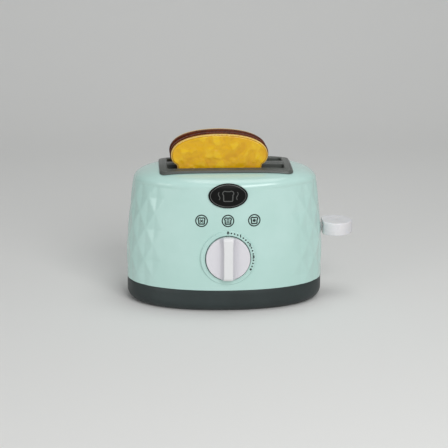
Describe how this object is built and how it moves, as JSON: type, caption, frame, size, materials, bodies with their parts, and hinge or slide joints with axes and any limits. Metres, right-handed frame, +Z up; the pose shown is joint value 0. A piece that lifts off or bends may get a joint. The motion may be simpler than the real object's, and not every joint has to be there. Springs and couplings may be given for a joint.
{
  "type": "toy toaster",
  "caption": "Toy pop-up toaster with a faceted casing, two bread slots, a side lever on a sprung carriage, a wind-up dial timer and lift-out slices of play toast.",
  "frame": {"origin": "centre of the casing's plan on the surface that the base stands on", "axes": "+Z up, +X towards the side with the lever, -Y towards the dial"},
  "size_m": [0.2129, 0.1168, 0.1595],
  "materials": {
    "casing": "glossy mint moulding",
    "base": "dark grey, satin",
    "bezel": "dark grey, satin",
    "badge": "black, glossy",
    "white": "white, semi-gloss",
    "inner_plastic": "grey, matt",
    "gear_plastic": "natural, satin",
    "brass": "stamped",
    "steel": "plain",
    "crumb": "pale bread, matt",
    "spread": "yellow spread, semi-gloss",
    "crust": "brown toasted face, semi-gloss"
  },
  "bodies": {
    "body": {"casing": "casing", "base": "base", "top_bezel": "bezel", "badge": "badge", "front_bread_well": "inner_plastic", "rear_bread_well": "inner_plastic", "timer_case": "inner_plastic", "timer_cover": "inner_plastic", "mainspring": "steel", "guide_rod_front": "steel", "guide_rod_rear": "steel", "lift_spring_front": "steel", "lift_spring_rear": "steel", "trip_pin": "steel", "trip_spring": "steel", "base_screw_1": "steel", "base_screw_2": "steel", "base_screw_3": "steel", "base_screw_4": "steel", "well_screw_1": "steel", "well_screw_2": "steel", "well_screw_3": "steel", "well_screw_4": "steel", "timer_screw_1": "steel", "timer_screw_2": "steel", "cover_screw_1": "steel", "cover_screw_2": "steel"},
    "dial": {"timer_knob": "white", "timer_shaft": "steel", "main_gear": "gear_plastic", "release_cam": "gear_plastic"},
    "compound": {"compound_gear": "gear_plastic"},
    "escape": {"escape_wheel": "brass"},
    "pallet": {"pallet": "brass"},
    "trip": {"trip_lever": "steel"},
    "carriage": {"bread_carriage": "white", "lever_knob": "white"},
    "front_slice": {"front_toast_crumb": "crumb", "front_toast_spread": "spread", "front_toast_crust": "crust"},
    "rear_slice": {"rear_toast_crumb": "crumb", "rear_toast_spread": "spread", "rear_toast_crust": "crust"}
  },
  "joints": [
    {"name": "lever_slide", "type": "slide", "parent": "body", "child": "carriage", "axis": [0, 0, -1], "range_m": [0, 0.038], "stiffness_N_per_m": 150, "springref_m": -0.02, "deforming": ["lift_spring_front", "lift_spring_rear"]},
    {"name": "dial_turn", "type": "hinge", "parent": "body", "child": "dial", "pos_m": [0, -0.05151, 0.051], "axis": [0, 0.9972, -0.0746], "range_deg": [0, 117], "stiffness_Nm_per_rad": 0.01, "springref_deg": -28.65},
    {"name": "compound_turn", "type": "hinge", "parent": "body", "child": "compound", "pos_m": [-0.01432, -0.05044, 0.06528], "axis": [0, 0.9972, -0.0746], "range_deg": [-468, 0]},
    {"name": "escape_turn", "type": "hinge", "parent": "body", "child": "escape", "pos_m": [-0.00566, -0.0498, 0.07392], "axis": [0, 0.9972, -0.0746], "range_deg": [0, 1579.5]},
    {"name": "pallet_rock", "type": "hinge", "parent": "body", "child": "pallet", "pos_m": [0.00294, -0.0498, 0.07392], "axis": [0, 0.9972, -0.0746], "range_deg": [-2, 2]},
    {"name": "trip_rock", "type": "hinge", "parent": "body", "child": "trip", "pos_m": [0.058, -0.05375, 0.02108], "axis": [0, -0.9972, 0.0746], "range_deg": [0, 6]},
    {"name": "front_slice_lift", "type": "slide", "parent": "carriage", "child": "front_slice", "axis": [0, 0, 1], "range_m": [0, 0.09]},
    {"name": "rear_slice_lift", "type": "slide", "parent": "carriage", "child": "rear_slice", "axis": [0, 0, 1], "range_m": [0, 0.09]}
  ],
  "couplings": [
    {"joint": "compound_turn", "follows": "dial_turn", "ratio": -4},
    {"joint": "escape_turn", "follows": "dial_turn", "ratio": 13.5},
    {"joint": "trip_rock", "follows": "dial_turn", "ratio": 0.051282}
  ]
}
